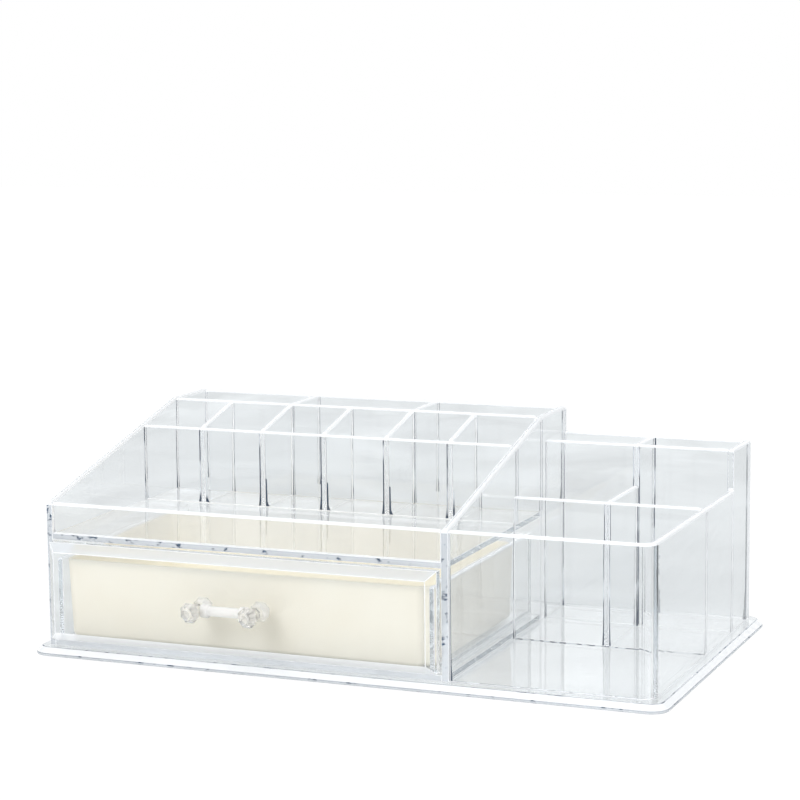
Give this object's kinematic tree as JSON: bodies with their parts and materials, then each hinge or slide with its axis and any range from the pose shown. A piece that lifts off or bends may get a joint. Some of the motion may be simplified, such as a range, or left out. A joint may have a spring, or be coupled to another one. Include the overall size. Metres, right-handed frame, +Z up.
{
  "type": "acrylic drawer organizer",
  "caption": "Clear bonded organiser for a vanity: an open tray, lipstick and brush slots and deep bins around a drawer with a cream flocked tray.",
  "frame": {"origin": "middle of the base plate's underside", "axes": "+X to the right along the front, +Y from the drawer's front to the back, +Z up"},
  "size_m": [0.3684, 0.2362, 0.1242],
  "materials": {
    "clear_acrylic": "clear cast acrylic sheet with flame-polished edges",
    "cut_acrylic": "clear acrylic cut in facets and polished",
    "cream_flock": "cream velvet flock with a short nap"
  },
  "bodies": {
    "housing": {"base_plate": "clear_acrylic", "left_side_wall": "clear_acrylic", "partition_wall": "clear_acrylic", "block_back_wall": "clear_acrylic", "drawer_bay_floor": "clear_acrylic", "tray_floor": "clear_acrylic", "brush_wall": "clear_acrylic", "tray_lip": "clear_acrylic", "lipstick_wall": "clear_acrylic", "lipstick_divider_1": "clear_acrylic", "lipstick_divider_2": "clear_acrylic", "lipstick_divider_3": "clear_acrylic", "lipstick_divider_4": "clear_acrylic", "lipstick_divider_5": "clear_acrylic", "brush_divider_1": "clear_acrylic", "brush_divider_2": "clear_acrylic", "bin_bent_wall": "clear_acrylic", "bin_back_wall": "clear_acrylic", "bin_middle_wall": "clear_acrylic", "bin_rear_wall": "clear_acrylic", "bin_middle_divider": "clear_acrylic", "bin_rear_divider": "clear_acrylic"},
    "drawer": {"drawer_front": "clear_acrylic", "drawer_left_side": "clear_acrylic", "drawer_right_side": "clear_acrylic", "drawer_back": "clear_acrylic", "drawer_bottom": "clear_acrylic", "velvet_liner": "cream_flock", "handle_left_post": "cut_acrylic", "handle_right_post": "cut_acrylic", "handle_bar": "cut_acrylic"}
  },
  "joints": [
    {"name": "drawer_slide", "type": "slide", "parent": "housing", "child": "drawer", "axis": [0, -1, 0], "range_m": [0, 0.13]}
  ]
}
